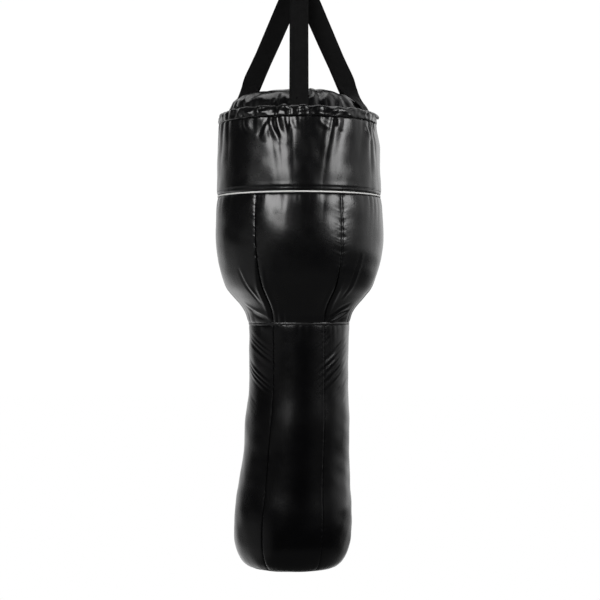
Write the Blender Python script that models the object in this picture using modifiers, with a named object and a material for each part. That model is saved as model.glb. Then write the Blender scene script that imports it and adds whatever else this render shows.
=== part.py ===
"""Heavy punching bag: a leather uppercut bag on six webbing straps, D-ring and swivel snap hook."""

import math

import bmesh
import bpy
from mathutils import Matrix, Vector

# Metres. Heights are above the flat underside of the bag; the origin is the centre of the hanging eye.
EYE_HEIGHT = 1.7912
SEGMENTS = 30
PANELS = 6
PANEL_STEPS = SEGMENTS // PANELS
PANEL_SWEEP = 360.0 / PANELS
SEAM_GAP_DEG = 0.08
GAP = 0.0004

# Leather cover, foam and filling
SKIN = 0.0025
FOAM = 0.025
FOAM_GAP = 0.0006
FILL_GAP = 0.0010
RIM_HEIGHT = 1.214
PIPING_HEIGHT = 0.992
PIPING_THICKNESS = 0.0044
NECK_HEIGHT = 0.652
COLLAR_RADIUS = 0.220
HEAD_RADIUS = 0.225
NECK_RADIUS = 0.1335
COLUMN_FOOT_RADIUS = 0.159
BASE_RADIUS = 0.124
BASE_THICKNESS = 0.003
COLLAR_BOTTOM = 0.995
COLLAR_TOP = 1.1857
HEM_BOTTOM = 1.1862
HEM_THICKNESS = 0.005
LINING_BOTTOM = 1.090
LINING_RADIUS = 0.206
LINING_TOP = 1.203
HEAD_TOP = 0.989
FOOT_LEAN = -0.0175
LEAN_FROM = 0.52
LEAN_TO = 0.06

# Lid and its zip
LID_HEIGHT = 1.262
LID_FLAT_RADIUS = 0.100
LID_EDGE_RADIUS = 0.193
LID_EDGE_HEIGHT = 1.210
LID_THICKNESS = 0.003
ZIP_SLOT = 0.008
ZIP_LENGTH = 0.196
TAPE_WIDTH = 0.028
TAPE_THICKNESS = 0.001
CHAIN_WIDTH = 0.0052
CHAIN_THICKNESS = 0.004
SLIDER_X = 0.082
PULL_LENGTH = 0.032

# Webbing
STRAP_WIDTH = 0.050
STRAP_THICKNESS = 0.0022
STRAP_PITCH = 0.0030
STRAP_FOOT = 1.105
STRAP_WALL_RADIUS = 0.2093
STRAP_RIM_RADIUS = 0.1968
STRAP_RIM_HEIGHT = 1.2115
STACK_BOTTOM = 1.575
STACK_JOIN = 1.588
STACK_BEND = 1.604
SIDE_FOLD = 1.515
STACK_TOP = 1.632
TWIST_FROM = 0.04
TWIST_TO = 0.32
FRONT_SAG = 0.0165
STRAPS = (
    ("strap_front", 0.0, 0.0),
    ("strap_front_left", -65.0, 1.0),
    ("strap_front_right", 65.0, 2.0),
    ("strap_back_right", 120.0, 3.0),
    ("strap_back_left", -120.0, 4.0),
    ("strap_back", 180.0, 5.0),
)

# Hanging steel
RING_BAR_HEIGHT = 1.655
RING_WIRE = 0.008
RING_HALF_WIDTH = 0.031
RING_RISE = 0.038
RING_CORNER = 0.007
HOOK_WIRE = 0.009
HOOK_RADIUS = 0.016
HOOK_SPINE = 0.040
HOOK_CENTRE = RING_BAR_HEIGHT + RING_RISE - RING_WIRE / 2 - HOOK_WIRE / 2 - 0.0003 + HOOK_RADIUS
GATE_PIVOT = 0.036
GATE_WIDTH = 0.006
GATE_DEPTH = 0.006
PIN_RADIUS = 0.0015
EYE_RADIUS = 0.019
EYE_WIRE = 0.008
BOSS_RADIUS = 0.011
BORE_RADIUS = 0.0051

# (height, radius) stations down the stuffed head and the column
HEAD_STATIONS = (
    (HEAD_TOP, 0.2180),
    (0.965, 0.2205),
    (0.930, 0.2230),
    (0.890, HEAD_RADIUS),
    (0.850, 0.2228),
    (0.811, 0.2158),
    (0.775, 0.2055),
    (0.748, 0.1935),
    (0.724, 0.1745),
    (0.702, 0.1565),
    (0.680, 0.1435),
    (NECK_HEIGHT + 0.0015, 0.1360),
)
COLUMN_STATIONS = (
    (NECK_HEIGHT - 0.0015, 0.1350),
    (0.600, NECK_RADIUS),
    (0.460, 0.1350),
    (0.390, 0.1408),
    (0.290, 0.1448),
    (0.215, 0.1498),
    (0.155, 0.1575),
    (0.095, COLUMN_FOOT_RADIUS),
    (0.060, 0.1555),
    (0.034, 0.1470),
    (0.014, 0.1350),
    (0.0030, BASE_RADIUS),
)
COLLAR_STATIONS = (
    (COLLAR_TOP, 0.2165),
    (1.165, 0.2180),
    (1.120, COLLAR_RADIUS),
    (1.050, COLLAR_RADIUS),
    (1.009, 0.2190),
    (COLLAR_BOTTOM, 0.2180),
)
HEM_STATIONS = (
    (RIM_HEIGHT, 0.2055),
    (1.2120, 0.2100),
    (1.2060, 0.2145),
    (1.1960, 0.2185),
    (HEM_BOTTOM, 0.2190),
)
LID_STATIONS = (
    (LID_HEIGHT, LID_FLAT_RADIUS),
    (1.257, 0.132),
    (1.245, 0.158),
    (1.229, 0.180),
    (LID_EDGE_HEIGHT, LID_EDGE_RADIUS),
)

FINISHES = {
    "black_leather": ((0.012, 0.012, 0.013), 0.32, 0.0),
    "white_piping": ((0.80, 0.80, 0.78), 0.45, 0.0),
    "black_webbing": ((0.015, 0.015, 0.016), 0.75, 0.0),
    "black_thread": ((0.03, 0.03, 0.03), 0.60, 0.0),
    "canvas_lining": ((0.10, 0.10, 0.10), 0.85, 0.0),
    "black_tape": ((0.02, 0.02, 0.02), 0.80, 0.0),
    "zinc_zip": ((0.55, 0.55, 0.53), 0.35, 1.0),
    "grey_foam": ((0.30, 0.30, 0.31), 0.90, 0.0),
    "textile_fill": ((0.45, 0.43, 0.40), 0.95, 0.0),
    "plated_steel": ((0.70, 0.70, 0.71), 0.22, 1.0),
    "spring_steel": ((0.50, 0.50, 0.51), 0.30, 1.0),
}


def clear_scene():
    for thing in list(bpy.data.objects):
        bpy.data.objects.remove(thing, do_unlink=True)


def make_collection(name, hidden):
    made = bpy.data.collections.new(name)
    bpy.context.scene.collection.children.link(made)
    made.hide_render = hidden
    return made


def finish_material(name):
    found = bpy.data.materials.get(name)
    if found:
        return found
    colour, roughness, metallic = FINISHES[name]
    made = bpy.data.materials.new(name)
    made.use_nodes = True
    shader = made.node_tree.nodes["Principled BSDF"]
    shader.inputs["Base Color"].default_value = (*colour, 1.0)
    shader.inputs["Roughness"].default_value = roughness
    shader.inputs["Metallic"].default_value = metallic
    return made


def place(name, mesh, finish, smooth=True):
    """An object of the bag, holding this mesh in its one material."""
    mesh.materials.clear()
    mesh.materials.append(finish_material(finish))
    for face in mesh.polygons:
        face.use_smooth = smooth
    made = bpy.data.objects.new(name, mesh)
    BAG.objects.link(made)
    return made


def place_cutter(name, mesh):
    made = bpy.data.objects.new(name, mesh)
    CUTTERS.objects.link(made)
    made.hide_render = True
    made.display_type = "WIRE"
    return made


def boolean(target, other, operation):
    step = target.modifiers.new(other.name, "BOOLEAN")
    step.operation = operation
    step.solver = "EXACT"
    step.object = other


def level(height):
    """The z of a height above the underside."""
    return height - EYE_HEIGHT


def lean(height):
    """How far the settled filling has pushed the column sideways at this height."""
    share = min(max((LEAN_FROM - height) / (LEAN_FROM - LEAN_TO), 0.0), 1.0)
    return FOOT_LEAN * share * share * (3.0 - 2.0 * share)


def bearing(degrees):
    """The outward direction at this bearing, 0 at the front and turning to the right."""
    turn = math.radians(degrees)
    return Vector((math.sin(turn), -math.cos(turn), 0.0))


def offset(stations, inward):
    """The same line of (height, radius) stations moved inward, square to itself."""
    moved = []
    for i, (height, radius) in enumerate(stations):
        above = stations[max(i - 1, 0)]
        below = stations[min(i + 1, len(stations) - 1)]
        run = Vector((below[1] - above[1], below[0] - above[0])).normalized()
        moved.append((height - inward * run.x, radius + inward * run.y))
    return moved


def shell_outline(stations, thickness):
    """The closed outline, as (radius, height), of a wall with these stations on its outside."""
    inner = offset(stations, thickness)
    outside = [(r, h) for h, r in stations]
    inside = [(r, h) for h, r in reversed(inner)]
    return outside + inside


def screw_mesh(outline, sweep, steps):
    """The outline turned about Z. An outline that ends on the axis is closed there, any other on itself."""
    on_axis = outline[0][0] == 0.0
    count = len(outline)
    edges = [(i, i + 1) for i in range(count - 1)]
    if not on_axis:
        edges.append((count - 1, 0))
    mesh = bpy.data.meshes.new("outline")
    mesh.from_pydata([(r, 0.0, h) for r, h in outline], edges, [])
    helper = bpy.data.objects.new("outline", mesh)
    CUTTERS.objects.link(helper)
    turn = helper.modifiers.new("Turn", "SCREW")
    turn.angle = math.radians(sweep)
    turn.steps = steps
    turn.render_steps = steps
    turn.use_merge_vertices = True
    turn.merge_threshold = 0.00001
    bpy.context.view_layer.update()
    graph = bpy.context.evaluated_depsgraph_get()
    made = bpy.data.meshes.new_from_object(helper.evaluated_get(graph))
    bpy.data.objects.remove(helper, do_unlink=True)
    return made


def cap_ends(shape, count, steps):
    """Closes the two cut ends of a partly turned wall with a strip of quads each."""
    shape.verts.ensure_lookup_table()
    for first in (0, steps * count):
        for i in range(count // 2 - 1):
            ring = (i, i + 1, count - 2 - i, count - 1 - i)
            shape.faces.new([shape.verts[first + k] for k in ring])


def turned_mesh(outline, start=0.0, sweep=360.0, steps=SEGMENTS, leaning=True):
    mesh = screw_mesh(outline, sweep, steps)
    shape = bmesh.new()
    shape.from_mesh(mesh)
    if sweep < 360.0:
        cap_ends(shape, len(outline), steps)
    bmesh.ops.recalc_face_normals(shape, faces=shape.faces)
    bmesh.ops.rotate(shape, verts=shape.verts, matrix=Matrix.Rotation(math.radians(start), 3, "Z"))
    for vert in shape.verts:
        if leaning:
            vert.co.x += lean(vert.co.z)
        vert.co.z = level(vert.co.z)
    shape.to_mesh(mesh)
    shape.free()
    return mesh


def block_mesh(size, centre, bevel=0.0, segments=2):
    shape = bmesh.new()
    bmesh.ops.create_cube(shape, size=1.0)
    bmesh.ops.scale(shape, vec=size, verts=shape.verts)
    if bevel:
        bmesh.ops.bevel(
            shape, geom=shape.edges[:], offset=bevel, segments=segments, profile=0.5, affect="EDGES"
        )
    bmesh.ops.translate(shape, vec=centre, verts=shape.verts)
    mesh = bpy.data.meshes.new("block")
    shape.to_mesh(mesh)
    shape.free()
    return mesh


def rod_mesh(points, radius, closed=False, sides=10):
    """A round bar along these points."""
    curve = bpy.data.curves.new("rod", "CURVE")
    curve.dimensions = "3D"
    curve.bevel_depth = radius
    curve.bevel_resolution = sides // 2 - 2
    curve.use_fill_caps = not closed
    line = curve.splines.new("POLY")
    line.points.add(len(points) - 1)
    for spot, point in zip(line.points, points):
        spot.co = (*point, 1.0)
    line.use_cyclic_u = closed
    helper = bpy.data.objects.new("rod", curve)
    CUTTERS.objects.link(helper)
    bpy.context.view_layer.update()
    graph = bpy.context.evaluated_depsgraph_get()
    mesh = bpy.data.meshes.new_from_object(helper.evaluated_get(graph))
    bpy.data.objects.remove(helper, do_unlink=True)
    shape = bmesh.new()
    shape.from_mesh(mesh)
    bmesh.ops.remove_doubles(shape, verts=shape.verts, dist=0.00001)
    bmesh.ops.recalc_face_normals(shape, faces=shape.faces)
    shape.to_mesh(mesh)
    shape.free()
    return mesh


def disc_mesh(radius, low, high, centre=(0.0, 0.0), along="Z", sides=20):
    """A plain cylinder from low to high along an axis."""
    shape = bmesh.new()
    bmesh.ops.create_cone(
        shape, cap_ends=True, segments=sides, radius1=radius, radius2=radius, depth=high - low
    )
    if along == "X":
        bmesh.ops.rotate(shape, verts=shape.verts, matrix=Matrix.Rotation(math.pi / 2, 3, "Y"))
        move = ((low + high) / 2, *centre)
    else:
        move = (*centre, (low + high) / 2)
    bmesh.ops.translate(shape, vec=move, verts=shape.verts)
    mesh = bpy.data.meshes.new("disc")
    shape.to_mesh(mesh)
    shape.free()
    return mesh


def arc(centre, across, up, radius, first, last, count):
    """Points on an arc in the plane of two directions, from one angle to another in degrees."""
    points = []
    for i in range(count):
        turn = math.radians(first + (last - first) * i / (count - 1))
        points.append(Vector(centre) + radius * (math.cos(turn) * across + math.sin(turn) * up))
    return points


def ribbon_mesh(stations, thickness):
    """A flat strip lofted through (left edge, right edge, facing direction) stations."""
    shape = bmesh.new()
    rings = []
    for left, right, facing in stations:
        half = facing * (thickness / 2)
        corners = (left + half, right + half, right - half, left - half)
        rings.append([shape.verts.new(corner) for corner in corners])
    for above, below in zip(rings, rings[1:]):
        for k in (0, 1, 2, 3):
            here = (k + 1) % 4 if k == 2 else k
            there = k if k == 2 else (k + 1) % 4
            shape.faces.new((above[here], above[there], below[there]))
            shape.faces.new((above[here], below[there], below[here]))
    shape.faces.new(rings[0])
    shape.faces.new(rings[-1])
    bmesh.ops.recalc_face_normals(shape, faces=shape.faces)
    mesh = bpy.data.meshes.new("ribbon")
    shape.to_mesh(mesh)
    shape.free()
    return mesh


def make_panels(prefix, stations, finish):
    """The leather panels between the vertical seams."""
    outline = shell_outline(stations, SKIN)
    for k in range(PANELS):
        start = k * PANEL_SWEEP - PANEL_SWEEP / 2 - 90.0 + SEAM_GAP_DEG
        sweep = PANEL_SWEEP - 2 * SEAM_GAP_DEG
        mesh = turned_mesh(outline, start, sweep, PANEL_STEPS)
        place(f"{prefix}_{k + 1}", mesh, finish)


def make_cover():
    place("collar_cover", turned_mesh(shell_outline(COLLAR_STATIONS, SKIN)), "black_leather")
    place("collar_hem", turned_mesh(shell_outline(HEM_STATIONS, HEM_THICKNESS)), "black_leather")
    make_panels("head_gore", HEAD_STATIONS, "black_leather")
    make_panels("column_panel", COLUMN_STATIONS, "black_leather")
    base = [
        (0.0, BASE_THICKNESS),
        (BASE_RADIUS - 0.0045, BASE_THICKNESS),
        (BASE_RADIUS - 0.0015, 0.0),
        (0.0, 0.0),
    ]
    place("base_disc", turned_mesh(base), "black_leather", smooth=False)


def make_welts():
    """The white piping under the collar and the bound seam at the neck."""
    radius = PIPING_THICKNESS / 2
    centre = COLLAR_STATIONS[-1][1] + 0.0005
    piping = []
    for k in range(6):
        turn = math.radians(60 * k)
        piping.append((centre + radius * math.cos(turn), PIPING_HEIGHT - radius * math.sin(turn)))
    place("collar_piping", turned_mesh(piping), "white_piping")
    near = HEAD_STATIONS[-1][1] + 0.0022
    binding = [
        (near, NECK_HEIGHT + 0.0055),
        (near + 0.0024, NECK_HEIGHT + 0.0040),
        (near + 0.0024, NECK_HEIGHT - 0.0040),
        (near, NECK_HEIGHT - 0.0055),
    ]
    place("neck_binding", turned_mesh(binding), "black_leather")


def make_lining():
    stations = (
        (LINING_TOP, 0.1965),
        (1.185, 0.2030),
        (1.160, LINING_RADIUS),
        (LINING_BOTTOM, LINING_RADIUS),
    )
    place("collar_lining", turned_mesh(shell_outline(stations, SKIN)), "canvas_lining")


def foam_head_stations():
    """(outside, inside) of the foam jacket of the head, stepped in where the strap lining starts."""
    lining = ((1.1995, 0.1925), (1.184, 0.1992), (1.160, 0.2026), (LINING_BOTTOM - 0.004, 0.2026))
    skin = ((LINING_BOTTOM - 0.006, 0.2160), (HEAD_TOP - 0.0005, 0.2135))
    head = offset(HEAD_STATIONS, SKIN + FOAM_GAP)[1:-1]
    outside = [*lining, *skin, *head, (NECK_HEIGHT + 0.001, NECK_RADIUS - 0.0010)]
    body = [(1.009, 0.2155), *head[2:3], *head[4:5], *head[6:]]
    inside = [(1.1995, 0.1715), (1.150, 0.1775), *offset(body, FOAM)]
    inside.append((NECK_HEIGHT + 0.001, NECK_RADIUS - FOAM - 0.0010))
    return outside, inside


def foam_column_stations():
    skin = offset(COLUMN_STATIONS[:-1], SKIN + FOAM_GAP)
    outside = [(NECK_HEIGHT - 0.001, skin[0][1]), *skin[1:-2], (0.032, 0.1420)]
    inside = [(h, r - FOAM) for h, r in outside[:1] + outside[2:-2:2] + outside[-1:]]
    inside[0] = (inside[0][0], NECK_RADIUS - FOAM - 0.0010)
    return outside, inside


def make_foam():
    """The foam jacket round the filling: head, column and a disc at the base."""
    jackets = {"foam_head": foam_head_stations(), "foam_column": foam_column_stations()}
    for name, (outside, inside) in jackets.items():
        outline = [(r, h) for h, r in outside] + [(r, h) for h, r in reversed(inside)]
        place(name, turned_mesh(outline), "grey_foam")
    disc = [(0.0, 0.029), (0.1375, 0.029), (0.1285, 0.0130), (0.1185, 0.0042), (0.0, 0.0042)]
    place("foam_base", turned_mesh(disc), "grey_foam")


def make_filling():
    """The packed textile that gives the bag its weight, one lump from the lid to the foam base."""
    head = offset(foam_head_stations()[1], FILL_GAP)
    column = offset(foam_column_stations()[1], FILL_GAP)
    under_lid = [(1.2555, 0.0), (1.2555, 0.096), (1.2500, 0.128), (1.2370, 0.153), (1.2180, 0.166)]
    stations = [*under_lid, *head[:-1], *column[:-1], (0.0300, column[-1][1]), (0.0300, 0.0)]
    place("textile_fill", turned_mesh([(r, h) for h, r in stations]), "textile_fill")


def make_lid():
    """The crowned lid in two halves either side of the zip."""
    outside = [(0.0, LID_HEIGHT)] + [(r, h) for h, r in LID_STATIONS]
    inside = [(r, h) for h, r in reversed(offset(LID_STATIONS, LID_THICKNESS))]
    inside[-1] = (LID_FLAT_RADIUS - 0.0005, LID_HEIGHT - LID_THICKNESS)
    outline = outside + inside + [(0.0, LID_HEIGHT - LID_THICKNESS)]
    reach = 0.5
    for name, side in (("lid_front", -1), ("lid_back", 1)):
        half = place(name, turned_mesh(outline), "black_leather")
        centre = (0.0, -side * (reach / 2 - ZIP_SLOT / 2), level(LID_HEIGHT))
        away = place_cutter(name + "_other_half", block_mesh((reach, reach, 0.2), centre))
        boolean(half, away, "DIFFERENCE")


def make_zip():
    top = level(LID_HEIGHT) - LID_THICKNESS - GAP
    centre = (0.0, 0.0, top - TAPE_THICKNESS / 2)
    tape = block_mesh((ZIP_LENGTH, TAPE_WIDTH, TAPE_THICKNESS), centre)
    place("zip_tape", tape, "black_tape", smooth=False)
    chain_z = top + GAP + CHAIN_THICKNESS / 2
    size = (ZIP_LENGTH - 0.006, CHAIN_WIDTH, CHAIN_THICKNESS)
    place("zip_chain", block_mesh(size, (0.0, 0.0, chain_z), 0.0012, 1), "zinc_zip", smooth=False)
    make_slider(chain_z + CHAIN_THICKNESS / 2 + GAP)


def make_slider(seat):
    """The slider on the chain and the pull tab under its bridge, both with origins on their joints."""
    axis = seat + 0.0052
    body = block_mesh((0.014, 0.013, 0.0032), (0.0, 0.0, seat + 0.0016 - axis), 0.0008)
    slider = place("zip_slider", body, "zinc_zip", smooth=False)
    slider.location = (SLIDER_X, 0.0, axis)
    bridge_mesh = block_mesh((0.012, 0.005, 0.0052), (0.0, 0.0, seat + 0.0053 - axis), 0.0006)
    bridge = place_cutter("slider_bridge", bridge_mesh)
    bridge.location = slider.location
    tunnel = place_cutter("slider_tunnel", block_mesh((0.0052, 0.02, 0.0032), (0.0, 0.0, 0.0)))
    tunnel.location = slider.location
    boolean(slider, bridge, "UNION")
    boolean(slider, tunnel, "DIFFERENCE")
    plate = block_mesh((PULL_LENGTH, 0.010, 0.0016), (-PULL_LENGTH / 2 + 0.0011, 0.0, 0.0), 0.0005)
    pull = place("zip_pull", plate, "zinc_zip", smooth=False)
    pull.location = slider.location
    window = place_cutter("pull_window", block_mesh((0.0075, 0.0066, 0.01), (-0.00465, 0.0, 0.0)))
    window.location = slider.location
    boolean(pull, window, "DIFFERENCE")


def strap_path(degrees, stack_y):
    """(centre, twist share) stations of one strap, from its sewn foot in the collar to the stack."""
    out = bearing(degrees)
    wall = [(STRAP_WALL_RADIUS, STRAP_FOOT), (STRAP_WALL_RADIUS, 1.160), (0.2063, 1.187)]
    path = [(out * r + Vector((0, 0, level(h))), 1.0) for r, h in wall]
    rim = out * STRAP_RIM_RADIUS + Vector((0, 0, level(STRAP_RIM_HEIGHT)))
    reach = out.x * STRAP_RIM_RADIUS / (STACK_JOIN - STRAP_RIM_HEIGHT)
    fold = fold_height(degrees)
    turn_off = Vector((reach * (STACK_JOIN - fold), stack_y, level(fold)))
    for share in (0.0, 0.06, 0.12, 0.19, 0.27, 0.40, 0.60, 0.80):
        twist = min(max((TWIST_TO - share) / (TWIST_TO - TWIST_FROM), 0.0), 1.0)
        centre = rim.lerp(turn_off, share)
        centre.x -= sag(degrees, centre.z)
        path.append((centre, twist * twist * (3 - 2 * twist)))
    path.append((turn_off - Vector((sag(degrees, turn_off.z), 0.0, 0.0)), 0.0))
    if fold < STACK_BOTTOM:
        path.append((Vector((reach * (STACK_JOIN - STACK_BOTTOM), stack_y, level(STACK_BOTTOM))), 0.0))
    path.append((Vector((0.0, stack_y, level(STACK_BEND))), 0.0))
    path.append((Vector((0.0, stack_y, level(STACK_TOP))), 0.0))
    return path


def sag(degrees, z):
    """How far a front side strap runs inside the straight line from the rim to the stack."""
    out = bearing(degrees)
    if abs(out.x) < 0.1 or out.y > 0.0:
        return 0.0
    share = (z - level(STRAP_RIM_HEIGHT)) / (STACK_JOIN - STRAP_RIM_HEIGHT)
    rise = min(share / 0.17, 1.0)
    return math.copysign(FRONT_SAG * (1 - share * share) * rise * rise * (3 - 2 * rise), out.x)


def fold_height(degrees):
    """Where a strap starts to lean away from the stack: the side ones once they have parted."""
    return STACK_BOTTOM if abs(bearing(degrees).x) < 0.1 else SIDE_FOLD


def strap_stations(degrees, stack_y):
    path = strap_path(degrees, stack_y)
    out = bearing(degrees)
    fold = level(fold_height(degrees))
    flip = -1.0 if abs(degrees) > 90.0 else 1.0
    tangent = Vector((-out.y, out.x, 0.0)) * flip
    turn = math.atan2(tangent.y, tangent.x)
    stations = []
    for i, (centre, twist) in enumerate(path):
        run = (path[min(i + 1, len(path) - 1)][0] - path[max(i - 1, 0)][0]).normalized()
        across = Vector((math.cos(turn * twist), math.sin(turn * twist), 0.0))
        across = (across - across.dot(run) * run).normalized()
        facing = across.cross(run).normalized()
        edges = []
        for side in (-1, 1):
            edge = centre + across * (side * STRAP_WIDTH / 2)
            if edge.z > fold:
                edge.y = stack_y
            edges.append(edge)
        if centre.z >= fold - 0.001:
            facing = Vector((0.0, 1.0 if facing.y > 0 else -1.0, 0.0))
        stations.append((*edges, facing))
    return stations


def make_straps():
    for name, degrees, order in STRAPS:
        stack_y = (order - (len(STRAPS) - 1) / 2) * STRAP_PITCH
        mesh = ribbon_mesh(strap_stations(degrees, stack_y), STRAP_THICKNESS)
        place(name, mesh, "black_webbing", smooth=False)


def make_strap_loop():
    """The loop of webbing over the ring's bar, its two tails sewn outside the stack of straps."""
    tail_y = (len(STRAPS) / 2) * STRAP_PITCH + 0.0006 + STRAP_THICKNESS / 2
    bend = RING_WIRE / 2 + 0.0004 + STRAP_THICKNESS / 2
    up = Vector((0.0, 0.0, 1.0))
    back = Vector((0.0, 1.0, 0.0))
    bar = Vector((0.0, 0.0, level(RING_BAR_HEIGHT)))
    points = [Vector((0.0, -tail_y, level(z))) for z in (STACK_BOTTOM + 0.002, STACK_TOP + 0.002)]
    points += arc(bar, back, up, bend, 195, -15, 11)
    points += [Vector((0.0, tail_y, level(z))) for z in (STACK_TOP + 0.002, STACK_BOTTOM + 0.002)]
    across = Vector((STRAP_WIDTH / 2, 0.0, 0.0))
    stations = []
    for i, point in enumerate(points):
        run = (points[min(i + 1, len(points) - 1)] - points[max(i - 1, 0)]).normalized()
        facing = Vector((0.0, -run.z, run.y))
        stations.append((point - across, point + across, facing))
    place("strap_loop", ribbon_mesh(stations, STRAP_THICKNESS), "black_webbing")
    return tail_y + STRAP_THICKNESS / 2


def make_bundle_trim(front):
    """The keeper band round the sewn stack and the crossed box of stitching under it."""
    low = STACK_BEND + 0.001
    high = STACK_TOP - 0.003
    size = (STRAP_WIDTH + 0.0070, 2 * front + 0.0056, high - low)
    middle = (0.0, 0.0, level((low + high) / 2))
    keeper = place("strap_keeper", block_mesh(size, middle, 0.0), "black_webbing", smooth=False)
    inner = (STRAP_WIDTH + 0.0020, 2 * front + 0.0006, 0.1)
    hole = place_cutter("keeper_hole", block_mesh(inner, middle))
    boolean(keeper, hole, "DIFFERENCE")
    bottom = STACK_BOTTOM + 0.005
    top = STACK_BEND - 0.003
    y = -front - GAP - 0.0005
    height = top - bottom
    centre = Vector((0.0, y, level((top + bottom) / 2)))
    width = STRAP_WIDTH - 0.010
    box = place("box_stitch", block_mesh((width, 0.001, height), centre), "black_thread", smooth=False)
    inside = (width - 0.0028, 0.01, height - 0.0028)
    window = place_cutter("box_window", block_mesh(inside, centre))
    boolean(box, window, "DIFFERENCE")
    for name, sign in (("cross_up", 1), ("cross_down", -1)):
        length = math.hypot(width, height) - 0.0020
        bar = place_cutter(name, block_mesh((length, 0.00096, 0.0014), (0.0, 0.0, 0.0)))
        bar.rotation_euler = (0.0, sign * math.atan2(height, width), 0.0)
        bar.location = centre
        boolean(box, bar, "UNION")


def make_ring():
    """The D-ring, its straight bar along X."""
    across = Vector((1.0, 0.0, 0.0))
    up = Vector((0.0, 0.0, 1.0))
    base = Vector((0.0, 0.0, level(RING_BAR_HEIGHT)))
    inset = RING_HALF_WIDTH - RING_CORNER
    points = arc(base + across * inset + up * RING_CORNER, across, up, RING_CORNER, -90, 0, 4)
    shoulder = RING_CORNER + 0.003
    rise = RING_RISE - shoulder
    for i in range(13):
        turn = math.pi * i / 12
        side = across * (RING_HALF_WIDTH * math.cos(turn))
        points.append(base + side + up * (shoulder + rise * math.sin(turn)))
    points += arc(base - across * inset + up * RING_CORNER, across, up, RING_CORNER, 180, 270, 4)
    ring = place("d_ring", rod_mesh(points, RING_WIRE / 2, closed=True), "plated_steel")
    set_origin(ring, (0.0, 0.0, level(HOOK_CENTRE - HOOK_RADIUS)))


def set_origin(part, spot):
    """Moves the origin of an object to its joint, leaving its shape where it is."""
    shift = Vector(spot)
    part.data.transform(Matrix.Translation(-shift))
    part.location = shift


def hook_z(above):
    """The z of a distance above the centre of the hook's lower bend."""
    return level(HOOK_CENTRE) + above


def make_hook():
    """The hook in the YZ plane, with its stem, peened head, gate ears and nose lip."""
    back = Vector((0.0, 1.0, 0.0))
    up = Vector((0.0, 0.0, 1.0))
    top = (0.0, 0.0, hook_z(HOOK_SPINE))
    low = (0.0, 0.0, hook_z(0.0))
    points = [Vector((0.0, -HOOK_RADIUS, hook_z(0.033)))]
    points += arc(top, back, up, HOOK_RADIUS, 180, 0, 9)
    points += arc(low, back, up, HOOK_RADIUS, 0, -180, 11)
    points.append(Vector((0.0, -HOOK_RADIUS, hook_z(0.008))))
    hook = place("hook_body", rod_mesh(points, HOOK_WIRE / 2), "plated_steel")
    stem = [
        (0.0, 0.0806),
        (0.0045, 0.0806),
        (0.0070, 0.0790),
        (0.0070, 0.0771),
        (0.0046, 0.0771),
        (0.0046, 0.0620),
        (0.0080, 0.0620),
        (0.0080, 0.0598),
        (0.0060, 0.0575),
        (0.0035, 0.0560),
        (0.0, 0.0550),
    ]
    stem = [(r, HOOK_CENTRE + h) for r, h in stem]
    spindle = place_cutter("hook_stem", turned_mesh(stem, 0.0, 360.0, 20, leaning=False))
    ears_at = (0.0, -HOOK_RADIUS, hook_z(0.0372))
    ears = place_cutter("hook_ears", block_mesh((0.0118, 0.0090, 0.0120), ears_at, 0.0016))
    lip_at = (0.0, -HOOK_RADIUS - 0.0027, hook_z(0.0075))
    lip = place_cutter("nose_lip", block_mesh((0.0060, 0.0032, 0.0110), lip_at, 0.0008))
    slot_at = (0.0, -HOOK_RADIUS, hook_z(0.0352))
    slot = place_cutter("ear_slot", block_mesh((0.0068, 0.0160, 0.0144), slot_at))
    hole_at = (-HOOK_RADIUS, hook_z(GATE_PIVOT))
    hole = place_cutter("ear_hole", disc_mesh(PIN_RADIUS + 0.0003, -0.02, 0.02, hole_at, "X", 16))
    for piece in (spindle, ears, lip):
        boolean(hook, piece, "UNION")
    for piece in (slot, hole):
        boolean(hook, piece, "DIFFERENCE")


def make_gate():
    """The sprung gate, its pin and the coil between its cheeks."""
    pivot = Vector((0.0, -HOOK_RADIUS, hook_z(GATE_PIVOT)))
    length = GATE_PIVOT - 0.0083
    centre = Vector((0.0, 0.0, -length / 2 + GATE_DEPTH / 4))
    size = (GATE_WIDTH, GATE_DEPTH, length + GATE_DEPTH / 2)
    gate = place("hook_gate", block_mesh(size, centre, 0.0012), "plated_steel", smooth=False)
    gate.location = pivot
    hole = disc_mesh(PIN_RADIUS + 0.0003, -0.02, 0.02, (0.0, 0.0), "X", 16)
    cheeks = block_mesh((0.0034, 0.02, 0.0110), (0.0, 0.0, 0.0))
    toe = block_mesh((0.02, 0.006, 0.0110), (0.0, -0.0040, -length))
    for name, mesh in (("gate_hole", hole), ("gate_channel", cheeks), ("gate_toe", toe)):
        cutter = place_cutter(name, mesh)
        cutter.location = pivot
        boolean(gate, cutter, "DIFFERENCE")
    pin = disc_mesh(PIN_RADIUS, -0.0064, 0.0064, (0.0, 0.0), "X", 12)
    place("gate_pin", pin, "spring_steel").location = pivot
    turns = 3
    steps = 10
    coil = []
    for i in range(turns * steps + 1):
        angle = 2 * math.pi * i / steps
        x = -0.0011 + 0.0022 * i / (turns * steps)
        coil.append(Vector((x, 0.0025 * math.cos(angle), 0.0025 * math.sin(angle))))
    coil.append(coil[-1] + Vector((0.0, 0.0, 0.0022)))
    spring = place("gate_spring", rod_mesh(coil, 0.00033, sides=6), "spring_steel")
    spring.location = pivot


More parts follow.
